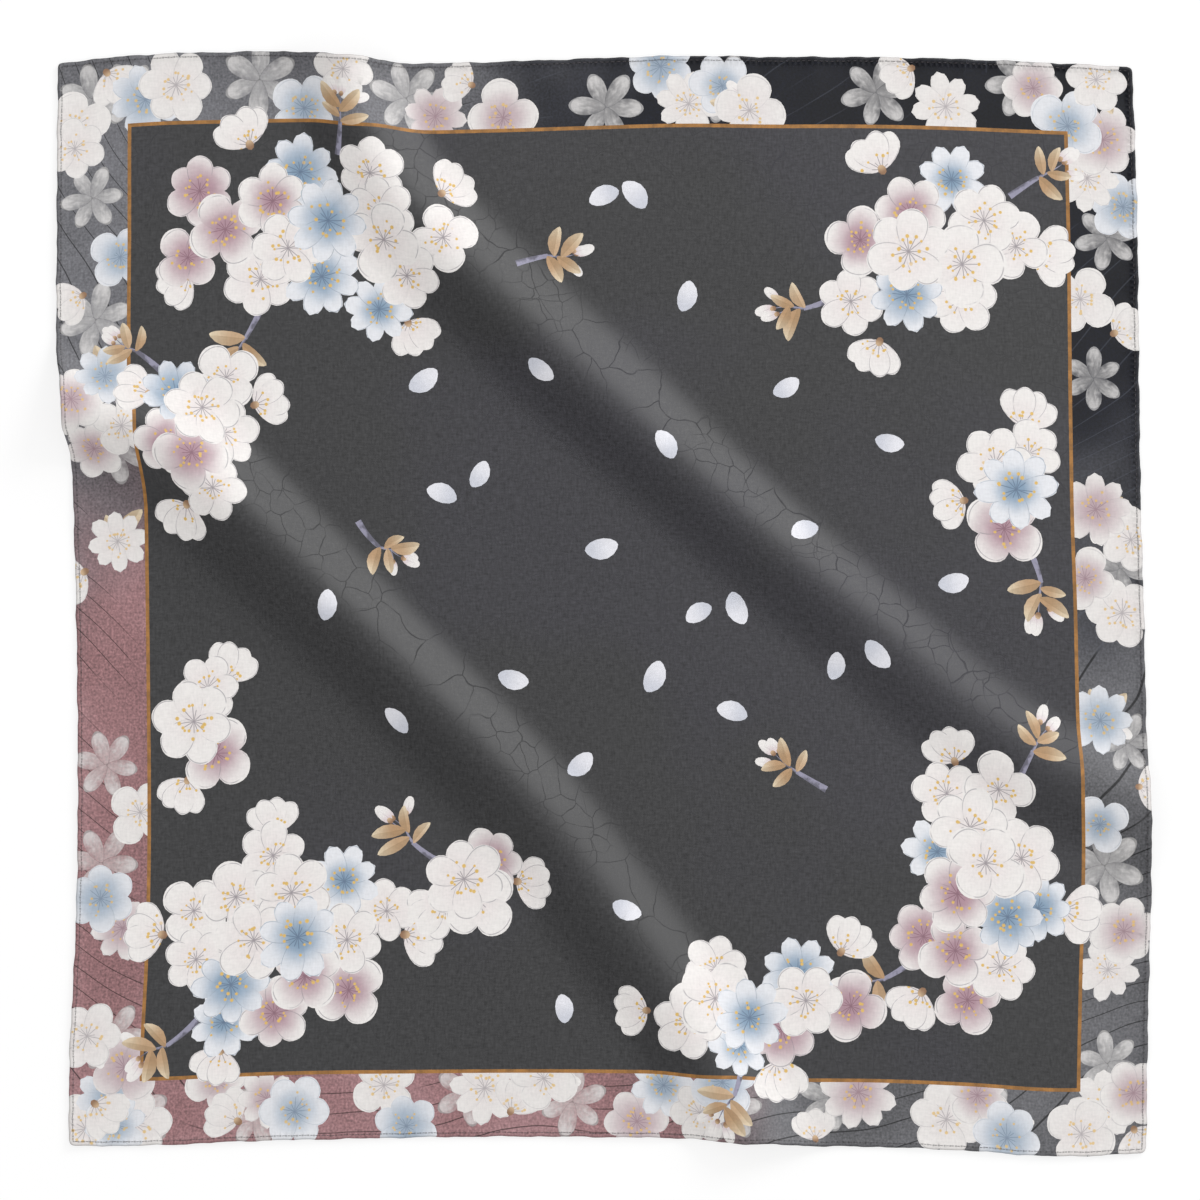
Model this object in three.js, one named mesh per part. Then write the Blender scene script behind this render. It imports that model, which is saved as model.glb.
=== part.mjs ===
import * as THREE from 'three';

// A printed cotton handkerchief, opened out and laid face up on a flat surface.
// Millimetres. +Z is up, +X is to the right and +Y is away from the viewer.
// The cloth is one square sheet with a narrow turned hem. Two soft ridges, left by
// its folding, run from the far left to the near right, and the rest of it lies flat.

// Driving sizes
const SIDE = 480;             // finished side of the square when it is smoothed flat
const CLOTH_THICKNESS = 1.0;  // the single layer inside the hem
const HEM_WIDTH = 2.4;        // from the edge to the line of stitching and a little past it
const HEM_RISE = 0.6;         // how far the turned hem stands above the single layer
const HEM_EDGE_DROP = 0.3;    // the rounding of the hem's outer edge
const HEM_EDGE_RUN = 0.4;     // how far in that rounding reaches
const HEM_STEP_RUN = 0.5;     // the slope from the hem down to the single layer
const CORNER_RADIUS = 2.4;    // the hem's corners, rounded by the turning
const FIELD_CELLS = 46;       // cells across the cloth between the two hems
const MARCH_STEP = 2;         // length of cloth laid down in one step, working outwards

const HALF = SIDE / 2;

// The ridges. "along" runs on the diagonal from the far left to the near right, and
// "crest" is the crest's place on the other diagonal, from the near left to the far
// right, both from the middle of the cloth. Each ridge turns towards the edge it ends
// at. "nearFlank" and "farFlank" are the widths of its slopes on either side.
const RIDGES = [
  [
    { along: -235, crest: -110, height: 15.2, nearFlank: 31, farFlank: 29 },
    { along: -198, crest: -88, height: 15.2, nearFlank: 30, farFlank: 28 },
    { along: -165, crest: -85, height: 15.0, nearFlank: 29, farFlank: 28 },
    { along: -75, crest: -86, height: 12.0, nearFlank: 29, farFlank: 26.5 },
    { along: 0, crest: -87, height: 11.5, nearFlank: 29, farFlank: 26 },
    { along: 50, crest: -89.5, height: 11.0, nearFlank: 30, farFlank: 25.5 },
    { along: 90, crest: -95, height: 10.0, nearFlank: 31, farFlank: 26 },
    { along: 150, crest: -103, height: 10.0, nearFlank: 31, farFlank: 27 },
    { along: 200, crest: -117, height: 10.4, nearFlank: 31, farFlank: 29 },
    { along: 225, crest: -124, height: 10.4, nearFlank: 31, farFlank: 30 },
  ],
  [
    { along: -251, crest: 92, height: 11.9, nearFlank: 30, farFlank: 30 },
    { along: -223, crest: 74, height: 11.9, nearFlank: 29, farFlank: 29 },
    { along: -178, crest: 62.5, height: 11.4, nearFlank: 28, farFlank: 27.5 },
    { along: -100, crest: 62, height: 11.2, nearFlank: 28, farFlank: 27.5 },
    { along: -50, crest: 63.8, height: 10.9, nearFlank: 28, farFlank: 27.5 },
    { along: 0, crest: 66.3, height: 10.5, nearFlank: 28.5, farFlank: 25.5 },
    { along: 50, crest: 70, height: 9.3, nearFlank: 29, farFlank: 24.5 },
    { along: 100, crest: 74.5, height: 8.2, nearFlank: 30, farFlank: 24.5 },
    { along: 150, crest: 79.5, height: 7.2, nearFlank: 31, farFlank: 25 },
    { along: 200, crest: 92, height: 7.2, nearFlank: 33, farFlank: 27 },
    { along: 235, crest: 108, height: 7.2, nearFlank: 34, farFlank: 28 },
  ],
];

// How far each edge wanders from a straight line as the cloth lies: "left" and "right"
// are shifts along X, "near" and "far" shifts along Y, at stations along the edge.
const EDGE_DRIFT = [
  { at: -240, left: 0.9, right: -1.3, near: -4.1, far: -3.7 },
  { at: -200, left: 1.1, right: -0.8, near: -3.5, far: 0.1 },
  { at: -160, left: 3.1, right: 0.0, near: -1.4, far: 1.2 },
  { at: -120, left: 4.1, right: 1.1, near: 0.0, far: 1.6 },
  { at: -80, left: 3.8, right: 1.2, near: 0.9, far: 0.2 },
  { at: -40, left: 2.8, right: 0.0, near: 1.2, far: 0.8 },
  { at: 0, left: 1.6, right: -0.8, near: 0.9, far: 2.1 },
  { at: 40, left: 0.5, right: -1.9, near: 0.3, far: 3.2 },
  { at: 80, left: -0.6, right: -2.2, near: -0.2, far: 2.7 },
  { at: 120, left: -0.8, right: -2.3, near: -0.5, far: 2.6 },
  { at: 160, left: -0.5, right: -2.4, near: -2.1, far: 1.7 },
  { at: 200, left: -0.4, right: -3.0, near: -4.6, far: 0.0 },
  { at: 240, left: 0.0, right: -4.1, near: -3.3, far: -2.1 },
];

const CLOTH_FINISH = new THREE.MeshStandardMaterial({
  color: 0x4a4a4e,
  roughness: 0.9,
  metalness: 0,
});

// The value of one column at a place between two rows, joined by a smooth curve.
function valueAt(rows, key, column, place) {
  const last = rows.length - 1;
  if (place <= rows[0][key]) return rows[0][column];
  if (place >= rows[last][key]) return rows[last][column];
  let i = 0;
  while (place > rows[i + 1][key]) i += 1;
  const span = rows[i + 1][key] - rows[i][key];
  const t = (place - rows[i][key]) / span;
  const from = rows[i][column];
  const to = rows[i + 1][column];
  const slopeIn = columnSlope(rows, key, column, i) * span;
  const slopeOut = columnSlope(rows, key, column, i + 1) * span;
  const t2 = t * t;
  const t3 = t2 * t;
  return from * (2 * t3 - 3 * t2 + 1) + slopeIn * (t3 - 2 * t2 + t)
    + to * (3 * t2 - 2 * t3) + slopeOut * (t3 - t2);
}

function columnSlope(rows, key, column, i) {
  const before = rows[Math.max(i - 1, 0)];
  const after = rows[Math.min(i + 1, rows.length - 1)];
  return (after[column] - before[column]) / (after[key] - before[key]);
}

// The cross-section of each ridge at one place along it.
function sectionsAt(along) {
  return RIDGES.map((rows) => ({
    crest: valueAt(rows, 'along', 'crest', along),
    height: valueAt(rows, 'along', 'height', along),
    nearFlank: valueAt(rows, 'along', 'nearFlank', along),
    farFlank: valueAt(rows, 'along', 'farFlank', along),
  }));
}

// A ridge's section is half a cosine wave on each side of its crest.
function heightAndSlope(sections, across) {
  let height = 0;
  let slope = 0;
  for (const section of sections) {
    const offset = across - section.crest;
    const width = offset < 0 ? section.nearFlank : section.farFlank;
    if (Math.abs(offset) >= width) continue;
    const phase = Math.PI * offset / width;
    height += section.height / 2 * (1 + Math.cos(phase));
    slope -= section.height / 2 * Math.PI / width * Math.sin(phase);
  }
  return { height, slope };
}

// Lays a point of the smoothed-flat square. The cloth keeps its length, so each ridge
// draws in what lies beyond it: the way across is walked from the flat middle outwards.
function layPoint(u, v) {
  const along = (u - v) / Math.SQRT2;
  const acrossCloth = (u + v) / Math.SQRT2;
  const sections = sectionsAt(along);
  const steps = Math.max(1, Math.ceil(Math.abs(acrossCloth) / MARCH_STEP));
  const step = acrossCloth / steps;
  let across = 0;
  for (let i = 0; i < steps; i += 1) {
    const { slope } = heightAndSlope(sections, across + step / 2);
    across += step / Math.hypot(1, slope);
  }
  const rightShare = u / SIDE + 0.5;
  const farShare = v / SIDE + 0.5;
  const driftX = valueAt(EDGE_DRIFT, 'at', 'left', v) * (1 - rightShare)
    + valueAt(EDGE_DRIFT, 'at', 'right', v) * rightShare;
  const driftY = valueAt(EDGE_DRIFT, 'at', 'near', u) * (1 - farShare)
    + valueAt(EDGE_DRIFT, 'at', 'far', u) * farShare;
  return new THREE.Vector3(
    (across + along) / Math.SQRT2 + driftX,
    (across - along) / Math.SQRT2 + driftY,
    heightAndSlope(sections, across).height,
  );
}

// Grid lines from one edge to the other: close together over each hem, even between.
function gridLines() {
  const hemLines = [0, HEM_EDGE_RUN, HEM_WIDTH, HEM_WIDTH + HEM_STEP_RUN];
  const fieldStart = hemLines[hemLines.length - 1];
  const cell = (SIDE - 2 * fieldStart) / FIELD_CELLS;
  const lines = hemLines.map((inset) => inset - HALF);
  for (let i = 1; i < FIELD_CELLS; i += 1) {
    lines.push(fieldStart + i * cell - HALF);
  }
  for (const inset of hemLines.reverse()) lines.push(HALF - inset);
  return lines;
}

// Moves a point near a corner of the square onto the corner's round.
function roundCorner(u, v) {
  const centre = HALF - CORNER_RADIUS;
  const du = Math.abs(u) - centre;
  const dv = Math.abs(v) - centre;
  if (du <= 0 || dv <= 0) return [u, v];
  const scale = Math.max(du, dv) / Math.hypot(du, dv);
  return [Math.sign(u) * (centre + du * scale), Math.sign(v) * (centre + dv * scale)];
}

// Thickness of the cloth at a distance in from its edge.
function thicknessAt(inset) {
  if (inset < HEM_EDGE_RUN) return CLOTH_THICKNESS + HEM_RISE - HEM_EDGE_DROP;
  if (inset <= HEM_WIDTH) return CLOTH_THICKNESS + HEM_RISE;
  return CLOTH_THICKNESS;
}

// Puts the origin under the middle of the cloth, on the surface that it lies on.
function centreOnBase(geometry) {
  geometry.computeBoundingBox();
  const { min, max } = geometry.boundingBox;
  geometry.translate(-(min.x + max.x) / 2, -(min.y + max.y) / 2, 0);
}

function clothGeometry() {
  const lines = gridLines();
  const count = lines.length;
  const under = [];
  for (const v of lines) {
    for (const u of lines) under.push(layPoint(...roundCorner(u, v)));
  }
  const at = (i, j) => under[j * count + i];

  const upper = [];
  for (let j = 0; j < count; j += 1) {
    for (let i = 0; i < count; i += 1) {
      const alongX = at(Math.min(i + 1, count - 1), j).clone().sub(at(Math.max(i - 1, 0), j));
      const alongY = at(i, Math.min(j + 1, count - 1)).clone().sub(at(i, Math.max(j - 1, 0)));
      const normal = alongX.cross(alongY).normalize();
      const inset = HALF - Math.max(Math.abs(lines[i]), Math.abs(lines[j]));
      upper.push(at(i, j).clone().addScaledVector(normal, thicknessAt(inset)));
    }
  }

  const positions = [];
  for (const point of [...under, ...upper]) positions.push(point.x, point.y, point.z);
  const layer = count * count;
  const indices = [];
  const quad = (a, b, c, d) => indices.push(a, b, d, b, c, d);
  for (let j = 0; j + 1 < count; j += 1) {
    for (let i = 0; i + 1 < count; i += 1) {
      const a = j * count + i;
      quad(a + layer, a + 1 + layer, a + 1 + count + layer, a + count + layer);
      indices.push(a, a + count, a + 1, a + 1, a + count, a + 1 + count);
    }
  }
  const end = count - 1;
  for (let i = 0; i < end; i += 1) {
    const near = i;
    const far = end * count + i;
    const left = i * count;
    const right = i * count + end;
    quad(near, near + 1, near + 1 + layer, near + layer);
    quad(far + 1, far, far + layer, far + 1 + layer);
    quad(left + count, left, left + layer, left + count + layer);
    quad(right, right + count, right + count + layer, right + layer);
  }
  const geometry = new THREE.BufferGeometry();
  geometry.setAttribute('position', new THREE.Float32BufferAttribute(positions, 3));
  geometry.setIndex(indices);
  centreOnBase(geometry);
  geometry.computeVertexNormals();
  return geometry;
}

const handkerchief = new THREE.Group();
const cloth = new THREE.Mesh(clothGeometry(), CLOTH_FINISH);
cloth.name = 'handkerchief_cloth';
handkerchief.add(cloth);

export default handkerchief;
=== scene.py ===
"""A printed cotton handkerchief, laid out flat with two soft ridges, for Blender 4.5."""

import math
import random
from collections import namedtuple

import bmesh
import bpy
import numpy as np
from bpy.props import FloatProperty, FloatVectorProperty, PointerProperty
from mathutils import Matrix, Vector
from mathutils.bvhtree import BVHTree
from mathutils.geometry import delaunay_2d_cdt


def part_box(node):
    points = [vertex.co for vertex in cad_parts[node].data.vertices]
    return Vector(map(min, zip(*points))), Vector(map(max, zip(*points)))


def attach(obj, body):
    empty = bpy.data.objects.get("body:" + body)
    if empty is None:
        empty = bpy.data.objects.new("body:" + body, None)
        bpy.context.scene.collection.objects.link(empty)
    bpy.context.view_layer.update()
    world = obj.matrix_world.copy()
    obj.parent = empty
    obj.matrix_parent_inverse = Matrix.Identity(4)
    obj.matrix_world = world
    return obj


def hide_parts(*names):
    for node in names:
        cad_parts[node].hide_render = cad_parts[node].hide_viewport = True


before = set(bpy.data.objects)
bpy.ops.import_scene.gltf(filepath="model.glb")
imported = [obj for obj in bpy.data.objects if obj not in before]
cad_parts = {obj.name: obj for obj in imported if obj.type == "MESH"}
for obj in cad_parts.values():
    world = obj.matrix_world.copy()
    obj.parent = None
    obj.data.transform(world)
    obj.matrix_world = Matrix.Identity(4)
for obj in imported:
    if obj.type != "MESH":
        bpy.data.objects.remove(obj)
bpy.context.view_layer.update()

bl_info = {
    "name": "Printed handkerchief",
    "version": (1, 0, 0),
    "blender": (4, 5, 0),
    "location": "View3D > Sidebar > Handkerchief",
    "description": "Makes a hemmed, flower-printed handkerchief laid out with two soft ridges",
    "category": "Object",
}

CLOTH_NODE = "handkerchief_cloth"

# Lengths in this script are millimetres on the smoothed-flat cloth, u to the right and
# v away from the viewer, both from its middle. Blender's own lengths are metres.
MM = 0.001
DIAGONAL = math.sqrt(2)
TURN = 2 * math.pi
GOLDEN_TURN = math.radians(137.508)


def table(name, columns, *rows):
    """Rows of numbers under named columns."""
    row = namedtuple(name, columns)
    return tuple(row(*values) for values in rows)


# The ridges. "along" runs on the diagonal from the far left to the near right, and
# "crest" is the crest's place on the other diagonal, from the near left to the far right.
RIDGES = tuple(
    table("Station", "along crest height near_flank far_flank", *stations)
    for stations in (
        (
            (-235, -110, 15.2, 31, 29), (-198, -88, 15.2, 30, 28), (-165, -85, 15.0, 29, 28),
            (-75, -86, 12.0, 29, 26.5), (0, -87, 11.5, 29, 26), (50, -89.5, 11.0, 30, 25.5),
            (90, -95, 10.0, 31, 26), (150, -103, 10.0, 31, 27), (200, -117, 10.4, 31, 29),
            (225, -124, 10.4, 31, 30),
        ),
        (
            (-251, 92, 11.9, 30, 30), (-223, 74, 11.9, 29, 29), (-178, 62.5, 11.4, 28, 27.5),
            (-100, 62, 11.2, 28, 27.5), (-50, 63.8, 10.9, 28, 27.5), (0, 66.3, 10.5, 28.5, 25.5),
            (50, 70, 9.3, 29, 24.5), (100, 74.5, 8.2, 30, 24.5), (150, 79.5, 7.2, 31, 25),
            (200, 92, 7.2, 33, 27), (235, 108, 7.2, 34, 28),
        ),
    )
)

# How far each edge wanders from a straight line, at places along it.
EDGE_DRIFT = table(
    "Drift", "at left right near far",
    (-240, 0.9, -1.3, -4.1, -3.7), (-200, 1.1, -0.8, -3.5, 0.1), (-160, 3.1, 0.0, -1.4, 1.2),
    (-120, 4.1, 1.1, 0.0, 1.6), (-80, 3.8, 1.2, 0.9, 0.2), (-40, 2.8, 0.0, 1.2, 0.8),
    (0, 1.6, -0.8, 0.9, 2.1), (40, 0.5, -1.9, 0.3, 3.2), (80, -0.6, -2.2, -0.2, 2.7),
    (120, -0.8, -2.3, -0.5, 2.6), (160, -0.5, -2.4, -2.1, 1.7), (200, -0.4, -3.0, -4.6, 0.0),
    (240, 0.0, -4.1, -3.3, -2.1),
)

# The turned hem, as distances from the edge and the thickness there: the rolled edge, the
# padded fold, the dip that the stitching pulls in, and the step down to the single layer.
HEM_PROFILE = (
    (0.0, 0.40), (0.3, 0.72), (0.8, 0.88), (1.3, 0.84), (1.8, 0.62), (2.2, 0.78), (2.5, 0.62),
    (2.9, 0.30),
)

# Slow waves in the cloth where it lies flat: length, direction, phase and height.
SOFT_WAVES = table(
    "Wave", "length turn phase height",
    (150, 35, 0.4, 0.28), (95, 130, 2.1, 0.16), (62, 80, 4.0, 0.08),
)
# Ripples that the hem's stitching draws up: length along the edge, phase and height.
HEM_RIPPLES = table(
    "Ripple", "length phase height",
    (31, 0.3, 0.16), (17, 1.9, 0.15), (9.5, 4.4, 0.08), (5.3, 2.7, 0.04),
)
# How far in they are felt. How far in the edge's sideways wobble is felt, and its size as a
# share of theirs. What each next side adds to their phase.
RIPPLE_REACH = 9.0
WOBBLE_REACH = 4.0
EDGE_WOBBLE = 0.9
SIDE_PHASE = 2.4

# Steps in which the cloth is followed over the ridges, and the distance over which the
# slope of its surface is taken.
LAYING_STEPS = 150
SLOPE_REACH = 0.5
# The mesh along the edge: spacing of the points on the edge, how far in the hem's rows are
# as close, the rows past the hem, each with its inset and spacing, and where the lattice of
# the rest begins.
EDGE_STEP = 1.25
FINE_INSET = 1.5
ROWS_PAST_HEM = ((4.2, 2.5), (6.4, 3.0))
LATTICE_INSET = 9.0
# Spacing of the threads in the weave.
THREAD_SPACING = 0.40

# The floor's half width and how far it lies below the cloth, in metres.
FLOOR_REACH = 4.0
FLOOR_DROP = 0.0003

# What a printed mark is. Each kind has a material of its own.
BORDER, FIELD, LINE, PETAL, PALE, GHOST, LOOSE, BUD, LEAF, CALYX, TWIG = range(11)
# Petal tints.
WHITE, PINK, BLUE = range(3)

# Kinds of flower: number of petals, where a petal starts and its half width as shares
# of the flower's radius, and its tip's teeth, their depth and its point.
Flower = namedtuple("Flower", "petals base half_width teeth depth point")
ANEMONE = Flower(6, -0.04, 0.37, 5, 0.05, 0.0)
COSMOS = Flower(8, -0.05, 0.26, 9, 0.09, 0.0)
DOGWOOD = Flower(4, -0.04, 0.47, 0, 0.0, 0.09)
HALF_OPEN = Flower(4, 0.0, 0.30, 5, 0.06, 0.0)
STAR = Flower(6, 0.0, 0.25, 0, 0.0, 0.10)
# How much wider a petal is towards its tip, and how far its outline's points crowd there.
SWELL = 0.30
TIP_CROWDING = 0.4
# A loose petal's width as a share of its length, and how much a stem narrows to its end.
LOOSE_WIDTH = 0.62
STEM_TAPER = 0.4

# Display colours of the print beside those that can be set.
LINE_ON_BLACK = (0.36, 0.38, 0.42)
FIELD_CLOUD = (0.262, 0.258, 0.29)
BLUE_TIP = (0.905, 0.92, 0.95)
WHITE_HEART = (0.93, 0.90, 0.895)
OUTLINE = (0.50, 0.48, 0.52)
BLUE_OUTLINE = (0.45, 0.52, 0.60)
FILAMENT = (0.40, 0.36, 0.41)
PINK_FILAMENT = (0.48, 0.33, 0.39)
BLUE_FILAMENT = (0.33, 0.40, 0.50)
THIN_WHITE = (0.87, 0.86, 0.855)
LOOSE_BASE = (0.82, 0.83, 0.87)
LOOSE_TIP = (0.92, 0.92, 0.945)
BUD_BASE = (0.88, 0.82, 0.83)
BUD_FOLD = (0.70, 0.64, 0.67)
LEAF_WARM = (0.81, 0.69, 0.56)
LEAF_TIP = (0.93, 0.88, 0.77)
LEAF_SHADE = (0.60, 0.49, 0.36)
LEAF_RIB = (0.57, 0.46, 0.31)
CUP_BASE = (0.60, 0.46, 0.35)
CUP_TIP = (0.82, 0.70, 0.56)
# The print as it shows through on the underside is washed out towards this.
WASHED = (0.62, 0.61, 0.61)

# Patterns of the print, in sides of the cloth: the middle of the border's flowing arcs and
# how many pass in one side, cells of the wide and the fine crackle in one side, and grains
# of the border's mottled ground.
FLOW_CENTRE = (0.36, 1.25)
FLOW_LINES = 46.0
WIDE_CRACKLE, FINE_CRACKLE = 27.0, 52.0
MOTTLE = 460.0
# Filaments of a flower, and anthers between them.
FILAMENTS, ANTHERS = 13, 7
# Slubs along and across a yarn, in one side of the cloth.
SLUB_ALONG, SLUB_ACROSS = 150.0, 520.0
# Width of the turned hem, and of the painted shade on the rolled edge and of the painted shadow in
# the seam's dip.
HEM_WIDTH, ROLL_WIDTH, SEAM_DIP = 2.3, 0.75, 0.55

# Flower clusters inside the frame line: middle, half length and half width of the
# cluster, its turn, and how many flowers, leafy sprigs and half-open flowers it has.
CLUSTERS = table(
    "Cluster", "u v length width turn flowers sprigs cups seed",
    (-122, 160, 76, 42, -8, 15, 2, 4, 3), (-176, 74, 27, 44, 4, 7, 1, 3, 8),
    (148, 156, 52, 42, 28, 10, 2, 3, 12), (182, 52, 22, 32, 0, 4, 1, 2, 15),
    (164, -124, 40, 60, -6, 13, 2, 3, 21), (70, -178, 56, 28, 6, 9, 1, 3, 27),
    (-148, -154, 58, 50, 24, 15, 2, 4, 31), (-182, -60, 22, 26, 0, 3, 0, 2, 40),
    (-62, -128, 20, 18, 0, 3, 1, 2, 44),
)
# Leafy sprigs that stand alone on the field.
LONE_SPRIGS = table(
    "Sprig", "u v turn length seed",
    (-34, 150, 20, 36, 4), (96, -84, 150, 36, 9), (-108, 34, -60, 34, 15),
)
# Loose petals scattered over the middle of the field.
LOOSE_PETALS = table(
    "LoosePetal", "u v turn length",
    (-84, 92, 35, 15), (-64, 44, 160, 14), (-57, 49, 60, 13), (-126, -12, 80, 14),
    (-30, 106, -40, 14), (12, 182, 200, 14), (24, 174, 130, 15), (-8, 20, 10, 15),
    (40, 128, 75, 14), (34, 62, 120, 14), (56, 2, -70, 15), (47, -4, -150, 13), (80, 92, 30, 13),
    (98, 34, 200, 14), (18, -42, 65, 15), (-48, -34, -15, 14), (-92, -62, 130, 14),
    (-18, -78, 40, 14), (62, -52, 165, 14), (116, -18, -50, 15), (100, -36, 75, 13),
    (0, -136, -20, 14), (150, 8, 15, 14), (124, 72, -10, 13), (-20, -190, 100, 13),
)
# Stretches of the border, each with its start, its end and the usual spacing of its
# flowers. Places run from the left or the near corner.
BORDER_SIDES = {
    "near": ((-236, -70, 20), (-58, 96, 22), (112, 236, 24)),
    "right": ((-236, -64, 27), (-50, 78, 26), (118, 236, 25)),
    "far": ((-236, -96, 29), (-72, -8, 26), (30, 112, 24), (140, 236, 23)),
    "left": ((-236, -88, 23), (6, 116, 23), (134, 214, 28)),
}
# Flowers gather in twos and threes: each gap as a share of the usual spacing. Leaves and a
# bud stand before the wider gaps.
BORDER_GAPS = (0.55, 0.62, 1.8, 0.5, 0.66, 0.55, 2.0, 0.6, 1.7)
LEAFY_GAP = 1.75
# Paler flowers that stand behind, in the gaps.
GHOST_PLACES = {
    "near": (-214, -160, -64, -20, 58, 104, 168),
    "right": (-200, -112, -57, 20, 98, 160),
    "far": (-206, -150, -84, 8, 62, 128, 190),
    "left": (-196, -120, -70, 62, 126, 176, 222),
}


# Settings


def measure(name, description, default, unit="LENGTH"):
    """A size that a user may change."""
    return FloatProperty(name=name, description=description, default=default, unit=unit)


def colour(name, description, *default):
    """A display colour that a user may change."""
    return FloatVectorProperty(
        name=name, description=description, default=default, subtype="COLOR_GAMMA"
    )


class ClothSettings(bpy.types.PropertyGroup):
    """Sizes of the cloth, its hem and the printed frame line."""

    side: measure("Side", "Finished side of the square when it is smoothed flat", 0.480)
    corner_radius: measure("Corner radius", "Rounding of the hem's corners", 0.0024)
    line_width: measure("Frame line width", "Width of the printed line round the field", 0.0016)
    line_left: measure(
        "Frame line from left", "Distance of the printed line from the left edge", 0.0312
    )
    line_right: measure(
        "Frame line from right", "Distance of the printed line from the right edge", 0.0294
    )
    line_far: measure(
        "Frame line from far edge", "Distance of the printed line from the far edge", 0.0296
    )
    line_near: measure(
        "Frame line from near edge", "Distance of the printed line from the near edge", 0.0281
    )
    mesh_step: measure("Mesh step", "Spacing of the mesh where nothing is printed", 0.004)


class InkSettings(bpy.types.PropertyGroup):
    """Colours of the print."""

    field: colour("Field", "Ground inside the frame line", 0.25, 0.25, 0.256)
    far_left: colour(
        "Border, far left", "Border ground at the far left corner", 0.425, 0.425, 0.445
    )
    far_right: colour(
        "Border, far right", "Border ground at the far right corner", 0.045, 0.065, 0.135
    )
    near_left: colour(
        "Border, near left", "Border ground at the near left corner", 0.655, 0.475, 0.485
    )
    near_right: colour(
        "Border, near right", "Border ground at the near right corner", 0.385, 0.385, 0.40
    )
    line: colour("Frame line", "Line round the field", 0.68, 0.475, 0.235)
    petal: colour("Petal tips", "Tips of every petal", 0.945, 0.93, 0.92)
    pink: colour("Pink heart", "Heart of a pink flower", 0.71, 0.575, 0.62)
    blue: colour("Blue heart", "Heart of a blue flower", 0.54, 0.64, 0.735)
    anther: colour("Anthers", "Dots round a flower's heart", 0.89, 0.74, 0.42)
    leaf: colour("Leaf", "Base of a leaf and of a bud's cup", 0.73, 0.585, 0.435)
    twig: colour("Twig", "Twigs", 0.60, 0.59, 0.67)
    thread: colour("Hem thread", "Sewing thread of the hem", 0.36, 0.33, 0.35)


class StitchSettings(bpy.types.PropertyGroup):
    """Sizes of the hem's machine stitching."""

    inset: measure("Inset", "Distance of the stitching from the edge", 0.0018)
    pitch: measure("Pitch", "Length from one stitch to the next", 0.0025)
    length: measure("Stitch length", "Length of thread that shows in one stitch", 0.0018)
    thickness: measure("Thread thickness", "Thickness of the sewing thread", 0.00030)


class StageSettings(bpy.types.PropertyGroup):
    """The camera, the floor and the lights."""

    camera_height: measure("Camera height", "Height of the camera over the cloth", 3.0)
    view_width: measure("View width", "Width of the surface that the picture takes in", 0.528)
    view_x: measure("View centre X", "Place under the middle of the picture", -0.00166)
    view_y: measure("View centre Y", "Place under the middle of the picture", 0.00165)
    light_height: measure(
        "Light height", "How high the window light stands over the surface",
        math.radians(26), "ROTATION",
    )
    light_distance: measure("Light distance", "Distance of the window light from the cloth", 3.0)
    light_size: measure("Light size", "Width of the window light", 1.4)
    light_power: measure(
        "Light power", "Power of the window light on matt surfaces", 36.0, "POWER"
    )
    gleam_power: measure(
        "Gleam power", "Power of the light that only glances off the cloth", 116.0, "POWER"
    )
    sky: measure("Surrounding light", "Strength of the even light all round", 0.79, "NONE")


# Laying the flat cloth


def column(rows, key, name, places):
    """Values of one column of a table at the given places, joined by a smooth curve."""
    x = np.array([getattr(row, key) for row in rows], float)
    y = np.array([getattr(row, name) for row in rows], float)
    last = len(rows) - 1
    before = np.maximum(np.arange(last + 1) - 1, 0)
    after = np.minimum(np.arange(last + 1) + 1, last)
    slope = (y[after] - y[before]) / (x[after] - x[before])
    place = np.clip(places, x[0], x[-1])
    i = np.clip(np.searchsorted(x, place) - 1, 0, last - 1)
    span = x[i + 1] - x[i]
    t = (place - x[i]) / span
    t2, t3 = t * t, t * t * t
    return (
        y[i] * (2 * t3 - 3 * t2 + 1)
        + slope[i] * span * (t3 - 2 * t2 + t)
        + y[i + 1] * (3 * t2 - 2 * t3)
        + slope[i + 1] * span * (t3 - t2)
    )


def ridge_sections(along):
    """Crest, height and flank widths of each ridge at places along it."""
    names = ("crest", "height", "near_flank", "far_flank")
    return [[column(rows, "along", name, along) for name in names] for rows in RIDGES]


def ridge_height_and_slope(sections, across):
    """Height and slope of the ridges: half a cosine wave on each side of a crest."""
    height, slope = np.zeros((2, len(across)))
    for crest, top, near_flank, far_flank in sections:
        offset = across - crest
        width = np.where(offset < 0, near_flank, far_flank)
        inside = np.abs(offset) < width
        phase = np.pi * offset / width
        height += np.where(inside, top / 2 * (1 + np.cos(phase)), 0)
        slope -= np.where(inside, top / 2 * np.pi / width * np.sin(phase), 0)
    return height, slope


def round_corners(u, v, half, radius):
    """Moves points near the square's corners onto the corners' rounds."""
    centre = half - radius
    du = np.maximum(np.abs(u) - centre, 0)
    dv = np.maximum(np.abs(v) - centre, 0)
    both = (du > 0) & (dv > 0)
    scale = np.where(both, np.maximum(du, dv) / np.maximum(np.hypot(du, dv), 1e-9), 1)
    return (
        np.where(both, np.sign(u) * (centre + du * scale), u),
        np.where(both, np.sign(v) * (centre + dv * scale), v),
    )


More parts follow.
